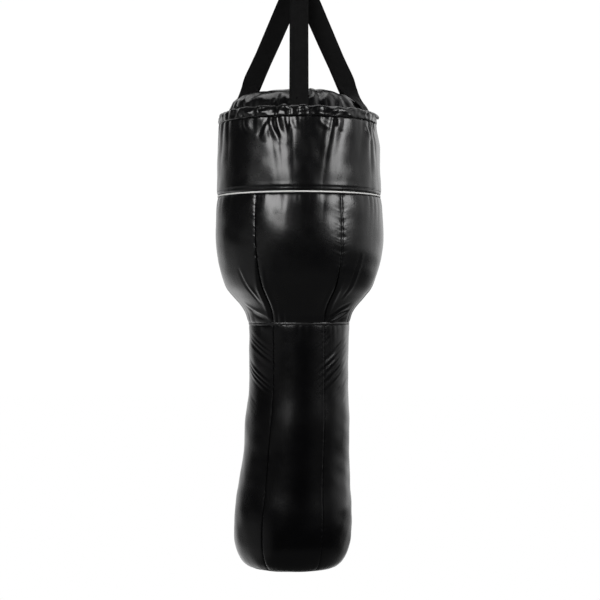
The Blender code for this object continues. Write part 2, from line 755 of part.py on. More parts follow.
def make_swivel():
    """The hanging eye with the boss that the hook's stem turns in, and the washer under it."""
    loop = arc((0, 0, 0), Vector((1, 0, 0)), Vector((0, 0, 1)), EYE_RADIUS, 0, 345, 24)
    eye = place("swivel_eye", rod_mesh(loop, EYE_WIRE / 2, closed=True), "plated_steel")
    boss = [
        (0.0, 0.0768),
        (0.0095, 0.0768),
        (BOSS_RADIUS, 0.0745),
        (BOSS_RADIUS, 0.0655),
        (0.0095, 0.0638),
        (0.0, 0.0638),
    ]
    boss = [(r, HOOK_CENTRE + h) for r, h in boss]
    bell = place_cutter("eye_boss", turned_mesh(boss, 0.0, 360.0, 20, leaning=False))
    bore = place_cutter("eye_bore", disc_mesh(BORE_RADIUS, hook_z(0.055), hook_z(0.079)))
    seat = place_cutter("eye_seat", disc_mesh(0.0076, hook_z(0.0769), hook_z(0.0830)))
    boolean(eye, bell, "UNION")
    boolean(eye, bore, "DIFFERENCE")
    boolean(eye, seat, "DIFFERENCE")
    ring = [(0.0052, 0.0635), (0.0084, 0.0635), (0.0084, 0.0624), (0.0052, 0.0624)]
    ring = [(r, HOOK_CENTRE + h) for r, h in ring]
    washer = turned_mesh(ring, 0.0, 360.0, 20, leaning=False)
    place("swivel_washer", washer, "plated_steel", smooth=False)


def build():
    make_cover()
    make_welts()
    make_lining()
    make_foam()
    make_filling()
    make_lid()
    make_zip()
    make_straps()
    make_bundle_trim(make_strap_loop())
    make_ring()
    make_hook()
    make_gate()
    make_swivel()


clear_scene()
BAG = make_collection("angle_heavy_bag", False)
CUTTERS = make_collection("cutters", True)
build()
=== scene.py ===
import math

import bpy
import numpy as np
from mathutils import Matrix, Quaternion, Vector


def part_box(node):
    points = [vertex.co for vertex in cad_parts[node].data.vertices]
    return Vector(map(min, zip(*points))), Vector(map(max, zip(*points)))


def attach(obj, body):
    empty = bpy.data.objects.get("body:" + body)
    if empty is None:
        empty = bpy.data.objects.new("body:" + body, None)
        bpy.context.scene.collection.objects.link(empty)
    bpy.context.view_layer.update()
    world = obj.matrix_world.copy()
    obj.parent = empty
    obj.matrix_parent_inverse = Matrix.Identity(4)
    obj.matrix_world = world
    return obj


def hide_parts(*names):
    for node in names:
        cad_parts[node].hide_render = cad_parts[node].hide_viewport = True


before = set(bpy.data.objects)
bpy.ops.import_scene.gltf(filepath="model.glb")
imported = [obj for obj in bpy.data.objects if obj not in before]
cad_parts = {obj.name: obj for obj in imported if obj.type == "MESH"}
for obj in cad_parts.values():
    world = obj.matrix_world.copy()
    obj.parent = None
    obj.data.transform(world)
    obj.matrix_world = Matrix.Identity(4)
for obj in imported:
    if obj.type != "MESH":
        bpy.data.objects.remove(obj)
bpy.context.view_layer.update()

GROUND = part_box("base_disc")[0].z

# Heights are above the bag's flat underside, in metres
PANELS = 6
PANEL_SWEEP = 360.0 / PANELS
STEP = 0.0032
SETTLE_FRAMES = 20
LEATHER_THICKNESS = 0.0018
HEM_GATHER = 0.0042
HEM_EDGE_SHARE = 0.65
COLLAR_RADIUS = 0.218
NECK_RADIUS = 0.145
COLUMN_RADIUS = 0.134
LID_RADIUS = 0.194
LID_GAP = 0.0042
FOOT_LEAN = -0.0175
LEAN_FROM = 0.52
LEAN_TO = 0.06
HEAD_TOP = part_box("head_gore_1")[1].z - GROUND
NECK_HEIGHT = 0.652
HEM_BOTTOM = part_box("collar_hem")[0].z - GROUND
COLLAR_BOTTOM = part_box("collar_cover")[0].z - GROUND
PIPING_HEIGHT = (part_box("collar_piping")[0].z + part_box("collar_piping")[1].z) / 2 - GROUND
RIM_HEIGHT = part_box("collar_hem")[1].z - GROUND

HEAD_STATIONS = (
    (HEAD_TOP, 0.2180),
    (0.965, 0.2219),
    (0.930, 0.2242),
    (0.890, 0.2250),
    (0.850, 0.2228),
    (0.811, 0.2158),
    (0.775, 0.2055),
    (0.748, 0.1935),
    (0.724, 0.1745),
    (0.702, 0.1565),
    (0.680, 0.1435),
    (NECK_HEIGHT + 0.0015, 0.1360),
)
COLUMN_STATIONS = (
    (NECK_HEIGHT - 0.0015, 0.1350),
    (0.600, 0.1335),
    (0.460, 0.1350),
    (0.390, 0.1408),
    (0.290, 0.1448),
    (0.215, 0.1498),
    (0.155, 0.1575),
    (0.095, 0.1590),
    (0.060, 0.1555),
    (0.034, 0.1470),
    (0.014, 0.1350),
    (0.0030, 0.1240),
)
COLLAR_STATIONS = (
    (HEM_BOTTOM - 0.0005, 0.2150),
    (1.165, 0.2162),
    (1.120, 0.2176),
    (1.060, 0.2192),
    (1.020, 0.2206),
    (1.004, 0.2210),
    (COLLAR_BOTTOM, 0.2197),
)
HEM_STATIONS = (
    (RIM_HEIGHT - 0.0050, 0.2040),
    (RIM_HEIGHT, 0.2082),
    (RIM_HEIGHT - 0.0030, 0.2128),
    (1.2075, 0.2150),
    (1.2000, 0.2160),
    (HEM_BOTTOM + 0.004, 0.2166),
    (HEM_BOTTOM, 0.2157),
)
LID_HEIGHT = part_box("lid_front")[1].z - GROUND
LID_STATIONS = (
    (LID_HEIGHT, 0.0),
    (LID_HEIGHT, 0.050),
    (LID_HEIGHT, 0.100),
    (1.257, 0.132),
    (1.245, 0.158),
    (1.229, 0.180),
    (1.210, 0.193),
)

STRAP_WIDTH = 0.050
STRAP_THICKNESS = 0.0022
STRAP_PITCH = 0.0030
STRAP_FOOT = 1.105
STRAP_WALL_RADIUS = 0.2093
STRAP_RIM_RADIUS = 0.1968
STRAP_RIM_HEIGHT = 1.2115
STACK_BOTTOM = 1.575
STACK_JOIN = 1.588
STACK_BEND = 1.604
SIDE_FOLD = 1.515
STACK_TOP = 1.632
TWIST_FROM = 0.04
TWIST_TO = 0.32
FRONT_SAG = 0.0165
RING_BAR_HEIGHT = 1.655
RING_WIRE = 0.008
STRAPS = (
    ("strap_front", 0.0),
    ("strap_front_left", -65.0),
    ("strap_front_right", 65.0),
    ("strap_back_right", 120.0),
    ("strap_back_left", -120.0),
    ("strap_back", 180.0),
)

CAMERA_DISTANCE = 4.0
CAMERA_HEIGHT = 0.7144
CAMERA_SIDE = 0.0027
METRES_ACROSS = 1.62


# ---------------------------------------------------------------- materials


class Nodes:
    """A short way to write the node tree of a material or a world."""

    def __init__(self, owner):
        self.owner = owner
        owner.use_nodes = True
        self.tree = owner.node_tree
        self.shader = self.tree.nodes.get("Principled BSDF")

    def add(self, kind):
        return self.tree.nodes.new(kind)

    def join(self, source, target):
        self.tree.links.new(source, target)

    def place(self, scale=(1.0, 1.0, 1.0)):
        """The point in the piece's own space, in metres."""
        coordinates = self.add("ShaderNodeTexCoord")
        mapping = self.add("ShaderNodeMapping")
        mapping.inputs["Scale"].default_value = scale
        self.join(coordinates.outputs["Object"], mapping.inputs["Vector"])
        return mapping.outputs["Vector"]

    def noise(self, vector, scale, detail=3.0, rough=0.5):
        node = self.add("ShaderNodeTexNoise")
        node.inputs["Scale"].default_value = scale
        node.inputs["Detail"].default_value = detail
        node.inputs["Roughness"].default_value = rough
        self.join(vector, node.inputs["Vector"])
        return node.outputs["Fac"]

    def window(self, value, start, end, low, high, kind="LINEAR"):
        """Maps start..end to low..high, and stays level outside."""
        node = self.add("ShaderNodeMapRange")
        node.interpolation_type = kind
        for key, setting in (("From Min", start), ("From Max", end), ("To Min", low), ("To Max", high)):
            node.inputs[key].default_value = setting
        self.join(value, node.inputs["Value"])
        return node.outputs["Result"]

    def fade(self, value, start, end, low=0.0, high=1.0):
        return self.window(value, start, end, low, high, "SMOOTHSTEP")

    def mix_colour(self, share, first, second):
        node = self.add("ShaderNodeMix")
        node.data_type = "RGBA"
        node.inputs[6].default_value = (*first, 1.0)
        node.inputs[7].default_value = (*second, 1.0)
        self.join(share, node.inputs[0])
        return node.outputs[2]

    def math(self, operation, first, second=0.0):
        node = self.add("ShaderNodeMath")
        node.operation = operation
        for socket, value in zip(node.inputs, (first, second)):
            if isinstance(value, (int, float)):
                socket.default_value = value
            else:
                self.join(value, socket)
        return node.outputs[0]

    def bump(self, height, distance, strength=1.0, below=None):
        node = self.add("ShaderNodeBump")
        node.inputs["Distance"].default_value = distance
        node.inputs["Strength"].default_value = strength
        self.join(height, node.inputs["Height"])
        if below is not None:
            self.join(below, node.inputs["Normal"])
        return node.outputs["Normal"]


def new_material(name):
    return Nodes(bpy.data.materials.new(name))


def leather(name, colour, rough_low, rough_high, specular=0.5):
    """Glossy coated leather: pebble grain, fine stretch lines, uneven gloss and pale scuffs."""
    m = new_material(name)
    place = m.place()
    cells = m.add("ShaderNodeTexVoronoi")
    cells.feature = "SMOOTH_F1"
    cells.inputs["Scale"].default_value = 620.0
    warp = m.add("ShaderNodeVectorMath")
    warp.operation = "ADD"
    wander = m.add("ShaderNodeTexNoise")
    wander.inputs["Scale"].default_value = 300.0
    m.join(place, wander.inputs["Vector"])
    scaled = m.add("ShaderNodeVectorMath")
    scaled.operation = "SCALE"
    scaled.inputs["Scale"].default_value = 0.0012
    m.join(wander.outputs["Color"], scaled.inputs[0])
    m.join(place, warp.inputs[0])
    m.join(scaled.outputs[0], warp.inputs[1])
    m.join(warp.outputs[0], cells.inputs["Vector"])
    lines = m.noise(m.place((1.0, 1.0, 0.35)), 55.0, 4.0, 0.6)
    soft = m.noise(place, 18.0, 3.0)
    normal = m.bump(cells.outputs["Distance"], 0.00008, 0.4)
    normal = m.bump(lines, 0.0006, 0.35, normal)
    normal = m.bump(soft, 0.0016, 0.35, normal)
    m.join(normal, m.shader.inputs["Normal"])
    patches = m.noise(place, 9.0, 5.0, 0.6)
    m.join(m.window(patches, 0.3, 0.7, rough_low, rough_high), m.shader.inputs["Roughness"])
    marks = m.noise(m.place((1.0, 1.0, 3.0)), 38.0, 6.0, 0.7)
    worn = m.window(marks, 0.60, 0.78, 0.0, 0.4)
    pale = tuple(min(c * 2.0 + 0.004, 1.0) for c in colour)
    m.join(m.mix_colour(worn, colour, pale), m.shader.inputs["Base Color"])
    m.shader.inputs["IOR"].default_value = 1.5
    m.shader.inputs["Specular IOR Level"].default_value = specular
    return m.owner


def webbing(name, colour):
    """Ribbed nylon webbing with a fine weave. U runs across the strap, V along it in metres."""
    ribs = 14.0
    rough = 0.62
    m = new_material(name)
    coordinates = m.add("ShaderNodeTexCoord")
    split = m.add("ShaderNodeSeparateXYZ")
    m.join(coordinates.outputs["UV"], split.inputs[0])
    across = m.math("MULTIPLY", split.outputs[0], ribs * 2 * math.pi)
    rib = m.math("ABSOLUTE", m.math("SINE", across))
    along = m.math("MULTIPLY", split.outputs[1], 2 * math.pi / 0.0022)
    yarn = m.math("FLOOR", m.math("MULTIPLY", split.outputs[0], ribs * 2))
    weave = m.math("SINE", m.math("ADD", along, m.math("MULTIPLY", yarn, math.pi)))
    height = m.math("ADD", rib, m.math("MULTIPLY", weave, 0.35))
    fuzz = m.noise(m.place(), 900.0, 2.0)
    normal = m.bump(height, 0.00045, 0.9)
    normal = m.bump(fuzz, 0.0002, 0.5, normal)
    m.join(normal, m.shader.inputs["Normal"])
    tone = m.noise(m.place(), 60.0, 4.0)
    pale = tuple(c * 2.0 + 0.0022 for c in colour)
    # Colour: random tone, paler on the rib crests as a painted highlight on the ribs.
    shade = m.math("MULTIPLY", m.window(tone, 0.3, 0.7, 0.0, 0.7), rib)
    m.join(m.mix_colour(shade, colour, pale), m.shader.inputs["Base Color"])
    m.join(m.window(tone, 0.3, 0.7, rough - 0.1, rough + 0.1), m.shader.inputs["Roughness"])
    m.shader.inputs["Specular IOR Level"].default_value = 0.09
    return m.owner


def woven(name, colour, scale=900.0, rough=0.85, depth=0.0003):
    """Plain woven cloth or tape."""
    m = new_material(name)
    place = m.place()
    split = m.add("ShaderNodeSeparateXYZ")
    m.join(place, split.inputs[0])
    waves = [m.math("SINE", m.math("MULTIPLY", split.outputs[k], scale * 2)) for k in range(3)]
    height = m.math("MULTIPLY", m.math("ADD", waves[0], waves[1]), waves[2])
    normal = m.bump(height, depth, 0.6)
    normal = m.bump(m.noise(place, 400.0, 3.0), depth, 0.5, normal)
    m.join(normal, m.shader.inputs["Normal"])
    tone = m.noise(place, 50.0, 5.0)
    pale = tuple(min(c * 1.6 + 0.01, 1.0) for c in colour)
    shade = m.window(tone, 0.3, 0.7, 0.0, 0.8)
    m.join(m.mix_colour(shade, colour, pale), m.shader.inputs["Base Color"])
    m.join(m.window(tone, 0.3, 0.7, rough - 0.07, rough + 0.07), m.shader.inputs["Roughness"])
    return m.owner


def vinyl(name, colour):
    """Piping: soft white vinyl with faint dirt and stretch marks."""
    m = new_material(name)
    place = m.place()
    dirt = m.noise(place, 120.0, 5.0, 0.6)
    dirty = tuple(c * 0.62 for c in colour)
    shade = m.window(dirt, 0.5, 0.75, 0.0, 0.8)
    m.join(m.mix_colour(shade, colour, dirty), m.shader.inputs["Base Color"])
    m.join(m.window(dirt, 0.3, 0.7, 0.35, 0.55), m.shader.inputs["Roughness"])
    m.join(m.bump(m.noise(place, 500.0, 3.0), 0.0002, 0.5), m.shader.inputs["Normal"])
    return m.owner


def metal(name, colour, rough_low, rough_high):
    """Plated steel: fine scratches, finger marks and duller patches."""
    m = new_material(name)
    place = m.place()
    m.shader.inputs["Metallic"].default_value = 1.0
    patches = m.noise(place, 90.0, 5.0, 0.6)
    fine = m.noise(m.place((1.0, 1.0, 12.0)), 420.0, 4.0, 0.7)
    m.join(m.window(patches, 0.3, 0.7, rough_low, rough_high), m.shader.inputs["Roughness"])
    dull = tuple(c * 0.72 for c in colour)
    shade = m.window(patches, 0.45, 0.75, 0.0, 0.6)
    m.join(m.mix_colour(shade, colour, dull), m.shader.inputs["Base Color"])
    normal = m.bump(fine, 0.00008, 0.5)
    m.join(m.bump(patches, 0.0003, 0.2, normal), m.shader.inputs["Normal"])
    return m.owner


def foam_rubber(name, colour):
    """Closed-cell foam: small cells and a chalky surface."""
    m = new_material(name)
    place = m.place()
    cells = m.add("ShaderNodeTexVoronoi")
    cells.inputs["Scale"].default_value = 700.0
    m.join(place, cells.inputs["Vector"])
    m.join(m.bump(cells.outputs["Distance"], 0.0004, 0.8), m.shader.inputs["Normal"])
    tone = m.noise(place, 30.0, 4.0)
    pale = tuple(c * 1.3 for c in colour)
    m.join(m.mix_colour(tone, colour, pale), m.shader.inputs["Base Color"])
    m.join(m.window(tone, 0.3, 0.7, 0.85, 0.98), m.shader.inputs["Roughness"])
    return m.owner


def shredded(name):
    """Packed textile cuttings in mixed greys and browns."""
    m = new_material(name)
    place = m.place()
    scraps = m.add("ShaderNodeTexVoronoi")
    scraps.inputs["Scale"].default_value = 60.0
    m.join(place, scraps.inputs["Vector"])
    scrap = m.noise(scraps.outputs["Color"], 3.0)
    m.join(m.mix_colour(scrap, (0.16, 0.15, 0.15), (0.52, 0.47, 0.40)), m.shader.inputs["Base Color"])
    m.join(m.bump(scraps.outputs["Distance"], 0.004, 0.8), m.shader.inputs["Normal"])
    m.shader.inputs["Roughness"].default_value = 0.95
    return m.owner


LEATHER = leather("black_leather_gloss", (0.0020, 0.0020, 0.0023), 0.20, 0.33)
# The column's leather is a darker copy of the head's leather with lower specular: painted shade on the
# same leather.
LEATHER_COLUMN_SHADED = leather("black_leather_column_shaded", (0.0018, 0.0018, 0.0021), 0.19, 0.30, 0.36)
LEATHER_FOOT = leather("black_leather_base", (0.004, 0.004, 0.0045), 0.32, 0.46)
WEBBING = webbing("black_nylon_webbing", (0.0009, 0.0009, 0.0010))
THREAD = woven("black_bonded_thread", (0.012, 0.012, 0.013), 2600.0, 0.5, 0.0001)
PIPING = vinyl("white_vinyl_piping", (0.82, 0.82, 0.80))
CANVAS = woven("dark_canvas", (0.030, 0.030, 0.032))
TAPE = woven("black_zip_tape", (0.012, 0.012, 0.013), 1500.0)
STEEL = metal("bright_plated_steel", (0.72, 0.72, 0.73), 0.10, 0.26)
SPRING = metal("spring_steel_wire", (0.50, 0.50, 0.52), 0.20, 0.35)
ZINC = metal("zinc_zip_metal", (0.42, 0.42, 0.41), 0.25, 0.42)
FOAM = foam_rubber("grey_closed_foam", (0.25, 0.25, 0.26))
FILL = shredded("shredded_textile")


# ---------------------------------------------------------------- shape tools


def eased(share):
    """0 to 1 with a soft start and end."""
    share = np.clip(share, 0.0, 1.0)
    return share * share * (3.0 - 2.0 * share)


def lean(height):
    return FOOT_LEAN * eased((LEAN_FROM - height) / (LEAN_FROM - LEAN_TO))


def lengths(points):
    """How far along its line each point is."""
    return np.concatenate([[0.0], np.cumsum(np.linalg.norm(np.diff(points, axis=0), axis=1))])


def cubic(points, slope, at, fine):
    """The cubic through points with these slopes at places along a line, read at finer places."""
    k = np.clip(np.searchsorted(at, fine, side="right") - 1, 0, len(at) - 2)
    span = (at[k + 1] - at[k])[:, None]
    t = (fine - at[k])[:, None] / span
    return (
        (2 * t**3 - 3 * t**2 + 1) * points[k]
        + (t**3 - 2 * t**2 + t) * span * slope[k]
        + (3 * t**2 - 2 * t**3) * points[k + 1]
        + (t**3 - t**2) * span * slope[k + 1]
    )


def smooth_line(stations, step):
    """The stations joined by a smooth line, resampled evenly along its length."""
    points = np.array(stations, float)
    at = lengths(points)
    line = cubic(points, np.gradient(points, at, axis=0), at, np.linspace(0.0, at[-1], 60 * len(points)))
    length = lengths(line)
    count = max(int(round(length[-1] / step)), 2)
    even = np.linspace(0.0, length[-1], count + 1)
    return np.stack([np.interp(even, length, line[:, c]) for c in range(line.shape[1])], axis=1), even


def lumps(points, size, seed, count=22):
    """Smooth random unevenness of about this size, between roughly -1 and 1."""
    rng = np.random.default_rng(seed)
    way = rng.normal(size=(count, 3))
    way /= np.linalg.norm(way, axis=1)[:, None]
    way *= (2 * math.pi / size * rng.uniform(0.55, 1.5, count))[:, None]
    phase = rng.uniform(0, 2 * math.pi, count)
    total = np.zeros(points.shape[:-1])
    for k in range(count):
        total += np.sin(points @ way[k] + phase[k])
    return total / math.sqrt(count)


def drift(run, size, seed, count=9):
    """The same along one line."""
    rng = np.random.default_rng(seed)
    total = np.zeros(np.shape(run))
    for k in range(count):
        total += np.sin(run * 2 * math.pi / size * rng.uniform(0.5, 1.6) + rng.uniform(0, 2 * math.pi))
    return total / math.sqrt(count)


def gathers(run, wave, seed, sharp=0.6):
    """Rounded folds with sharp valleys between them, irregular in spacing and height."""
    warped = run + 0.45 * wave * drift(run, 4.5 * wave, seed)
    fold = np.abs(np.sin(math.pi * warped / wave)) ** sharp - 0.55
    return fold * np.clip(0.75 + 0.55 * drift(run, 3.2 * wave, seed + 1), 0.0, 1.8)


def wrapped(turn):
    """The same bearing between minus half a turn and half a turn."""
    return (turn + math.pi) % (2 * math.pi) - math.pi


def ring_gathers(turn, radius, wave, seed, sharp=0.6, skew=0.0):
    """Gathers that run round the bag and meet themselves at the back."""
    turn = wrapped(turn)
    blend_from = 2.75
    share = eased((np.abs(turn) - blend_from) / (math.pi - blend_from))
    ahead = gathers(turn * radius + skew, wave, seed, sharp)
    return (1 - share) * ahead + share * gathers(np.abs(turn) * radius + skew, wave, seed, sharp)


def piping_gathers(turn):
    """The short tucks that the piping's seam draws up, the same on both sides of it."""
    return ring_gathers(turn, COLLAR_RADIUS, 0.0125, 71)


def neck_gathers(turn):
    """The folds that the neck seam draws up, shared by the head and the binding."""
    return ring_gathers(turn, NECK_RADIUS, 0.034, 83, 0.8)


def crease(turn, height, start, end, depth, width, radius):
    """A fold with a raised lip, from one (bearing in degrees, height) point to another."""
    way = np.array((math.radians(end[0] - start[0]) * radius, end[1] - start[1]))
    length = np.linalg.norm(way)
    way = way / length
    x = wrapped(turn - math.radians(start[0])) * radius
    z = height - start[1]
    along = (x * way[0] + z * way[1]) / length
    off = x * -way[1] + z * way[0]
    off = off + 0.35 * width * np.sin(along * 5.0)
    fade = np.where((along > 0) & (along < 1), np.sin(math.pi * np.clip(along, 0, 1)) ** 0.7, 0.0)
    groove = -np.exp(-((off / width) ** 2)) + 0.8 * np.exp(-(((off - 1.8 * width) / (1.3 * width)) ** 2))
    return depth * fade * groove


def patch(turn, height, centre, spread, radius):
    """1 at a (bearing in degrees, height) centre, falling off over this many metres each way."""
    x = wrapped(turn - math.radians(centre[0])) * radius / spread[0]
    z = (height - centre[1]) / spread[1]
    return np.exp(-(x * x + z * z))


def mesh_object(name, vertices, faces, material, uv=None, smooth=True):
    vertices, faces = (v.tolist() if isinstance(v, np.ndarray) else v for v in (vertices, faces))
    mesh = bpy.data.meshes.new(name)
    mesh.from_pydata(vertices, [], faces)
    mesh.polygons.foreach_set("use_smooth", [smooth] * len(mesh.polygons))
    mesh.materials.append(material)
    if uv is not None:
        layer = mesh.uv_layers.new(name="UVMap")
        index = np.empty(len(mesh.loops), np.int32)
        mesh.loops.foreach_get("vertex_index", index)
        layer.data.foreach_set("uv", np.asarray(uv, np.float32)[index].ravel())
    mesh.update()
    made = bpy.data.objects.new(name, mesh)
    bpy.context.scene.collection.objects.link(made)
    return made


def grid_faces(rows, columns, wrap=False):
    across = columns if wrap else columns - 1
    i, j = np.meshgrid(np.arange(rows - 1), np.arange(across), indexing="ij")
    k = (j + 1) % columns
    upper, lower = i * columns, (i + 1) * columns
    return np.stack([upper + j, lower + j, lower + k, upper + k], axis=-1).reshape(-1, 4)


def solidify(piece, thickness):
    wall = piece.modifiers.new("Wall", "SOLIDIFY")
    wall.thickness = thickness
    wall.offset = -1.0
    wall.use_even_offset = False
    return piece


def settle(piece, held, growth, pressure, cap, bending):
    """Cloth simulation: leather cut a little too large buckles and fills between the held vertices."""
    mesh = piece.data
    before = np.empty(len(mesh.vertices) * 3)
    mesh.vertices.foreach_get("co", before)
    group = piece.vertex_groups.new(name="held")
    group.add([int(k) for k in held], 1.0, "REPLACE")
    cloth = piece.modifiers.new("Settle", "CLOTH")
    setup = cloth.settings
    setup.quality = 7
    setup.mass = 0.4
    setup.tension_stiffness = 60.0
    setup.compression_stiffness = 60.0
    setup.shear_stiffness = 30.0
    setup.bending_stiffness = bending
    setup.air_damping = 4.0
    setup.vertex_group_mass = "held"
    setup.shrink_min = -growth
    setup.use_pressure = True
    setup.uniform_pressure_force = pressure
    setup.effector_weights.gravity = 0.0
    cloth.point_cache.frame_start = 1
    cloth.point_cache.frame_end = SETTLE_FRAMES
    scene = bpy.context.scene
    for k in range(1, SETTLE_FRAMES + 1):
        scene.frame_set(k)
    settled = piece.evaluated_get(bpy.context.evaluated_depsgraph_get()).to_mesh()
    after = np.empty_like(before)
    settled.vertices.foreach_get("co", after)
    piece.modifiers.remove(cloth)
    scene.frame_set(1)
    move = (after - before).reshape(-1, 3)
    far = np.linalg.norm(move, axis=1)
    limit = cap * np.tanh(far / cap) / np.maximum(far, 1e-9)
    mesh.vertices.foreach_set("co", before + (move * limit[:, None]).ravel())
    mesh.update()


def turned_skin(name, stations, bearings, relief, material, wrap=False, step=STEP, wall=LEATHER_THICKNESS):
    """A skin of revolution, pushed in and out by relief(bearing, arc down, height, radius, points)."""
    line, down = smooth_line(stations, step)
    tangent = np.gradient(line, down, axis=0)
    turn = np.radians(bearings)[None, :]
    height = line[:, 0][:, None] + 0 * turn
    radius = line[:, 1][:, None] + 0 * turn
    points = np.stack([radius * np.sin(turn), -radius * np.cos(turn), height], axis=-1)
    push = relief(np.broadcast_to(turn, height.shape), down[:, None] + 0 * turn, height, radius, points)
    out = radius + push * -tangent[:, 0][:, None]
    up = height + push * tangent[:, 1][:, None]
    placed = np.stack([out * np.sin(turn) + lean(height), -out * np.cos(turn), up + GROUND], axis=-1)
    rows, columns = height.shape
    piece = mesh_object(name, placed.reshape(-1, 3), grid_faces(rows, columns, wrap), material)
    return solidify(piece, wall)


def seam_distance(turn, radius):
    """How far round the bag each point is from the nearest vertical seam, and the seam's number."""
    sweep = math.radians(PANEL_SWEEP)
    share = (turn - sweep / 2) / sweep
    nearest = np.round(share)
    return np.abs(share - nearest) * sweep * radius, nearest


# ---------------------------------------------------------------- leather head and column


def seam_relief(turn, radius, run, seed, pucker, reach, depth=1.0):
    """The shallow valley along a vertical seam, puckered by its stitches."""
    away, number = seam_distance(turn, radius)
    valley = -depth * (0.0016 * np.exp(-((away / 0.0030) ** 2)) + 0.0014 * np.exp(-away / 0.018))
    ripple = np.zeros_like(run)
    for k in range(PANELS):
        mine = np.abs(number % PANELS - k) < 0.5
        ripple += mine * gathers(run + 0.35 * away, 0.0125, seed + 10 * k, 0.7)
        longer = gathers(run - 0.5 * away, 0.0310, seed + 10 * k + 5, 0.9)
        ripple += mine * 0.6 * longer * np.exp(-away / 0.020)
    return valley + pucker * ripple * np.exp(-away / reach)


def head_relief(turn, down, height, radius, points):
    up = down.max() - down
    upper = np.clip((height - 0.76) / 0.08, 0.0, 1.0)
    push = 0.0006 + 0.0012 * lumps(points, 0.17, 3) + 0.0003 * lumps(points, 0.06, 4)
    push += seam_relief(turn, radius, down, 340, 0.0024 * (0.2 + 0.8 * upper), 0.0105)
    # short tucks under the piping, and longer folds of their own below it
    push += 0.0010 * piping_gathers(turn) * np.exp(-down / 0.012)
    folds = ring_gathers(turn, COLLAR_RADIUS, 0.040, 73, 0.9, 0.1 * down)
    push += 0.0018 * folds * np.exp(-((down / 0.045) ** 1.5))
    push -= 0.0016 * np.exp(-down / 0.0035)
    # the deep fold beside each seam where the bulge runs into the neck
    away, _ = seam_distance(turn, radius)
    lower = np.exp(-(((height - 0.725) / 0.055) ** 2))
    push -= 0.0022 * lower * np.exp(-((away / 0.0045) ** 2))
    push += 0.0024 * lower * np.exp(-(((away - 0.011) / 0.006) ** 2))
    push += 0.0016 * neck_gathers(turn) * np.exp(-((up / 0.035) ** 1.4))
    for start, end, depth in (
        ((-66, 0.700), (-33, 0.663), 0.0032),
        ((-60, 0.684), (-32, 0.656), 0.0028),
        ((66, 0.690), (31, 0.659), 0.0026),
        ((60, 0.706), (34, 0.672), 0.0018),
        ((138, 0.694), (104, 0.661), 0.0030),
        ((-140, 0.700), (-107, 0.662), 0.0030),
        ((170, 0.690), (190, 0.664), 0.0028),
        ((-48, 0.800), (-39, 0.705), 0.0022),
        ((47, 0.835), (41, 0.715), 0.0022),
    ):
        fold_radius = NECK_RADIUS if end[1] < 0.69 else 0.185
        push += crease(turn, height, start, end, depth, 0.0042, fold_radius)
    push -= 0.0016 * np.exp(-up / 0.005)
    return push


def column_relief(turn, down, height, radius, points):
    up = down.max() - down
    side = np.clip((np.abs(np.sin(turn)) - 0.55) / 0.3, 0.0, 1.0)
    push = 0.0004 + (0.0004 + 0.0008 * side) * lumps(points, 0.17, 13)
    push += 0.0004 * side * lumps(points, 0.06, 14)
    push += seam_relief(turn, radius, down, 60, 0.0005, 0.006, 0.45)
    neck = ring_gathers(turn, COLUMN_RADIUS, 0.030, 93, 0.9)
    push += 0.0011 * neck * np.exp(-((down / 0.030) ** 1.3))
    push -= 0.0014 * np.exp(-down / 0.005)
    # slack wrinkles that run down and inwards from the outer sides below the neck
    for centre, seed, slope in ((50, 201, -0.75), (-60, 203, 0.55), (150, 205, 0.6), (-140, 207, -0.6)):
        aside = wrapped(turn - math.radians(centre))
        wave = gathers(height + slope * aside * COLUMN_RADIUS, 0.024, seed, 1.2)
        push += 0.0030 * wave * patch(turn, height, (centre, 0.545), (0.042, 0.075), COLUMN_RADIUS)
    foot = ring_gathers(turn, 0.15, 0.016, 95)
    push += 0.0009 * foot * np.exp(-((up / 0.022) ** 1.4))
    push -= 0.0012 * np.exp(-up / 0.005)
    return push


def drawn_in(turn, height):
    """How far the collar's top is drawn in at the right, where its gathering is tightest."""
    rise = eased((height - 1.118) / 0.062)
    right = np.exp(-(((turn - math.radians(84)) / math.radians(24)) ** 2))
    back_left = 0.6 * np.exp(-(((turn + math.radians(150)) / math.radians(26)) ** 2))
    return (right + back_left) * 0.0090 * rise


def hem_folds(turn):
    """The gathering of the top hem: how much the leather stands out of the drawn-in edge."""
    slack = np.clip(0.8 + 0.6 * drift(turn, 1.6, 105), 0.25, 1.8)
    large = 0.95 * ring_gathers(turn, COLLAR_RADIUS, 0.038, 103, 0.9)
    small = 0.20 * ring_gathers(turn, COLLAR_RADIUS, 0.0150, 107, 0.9)
    return slack * (large + small)


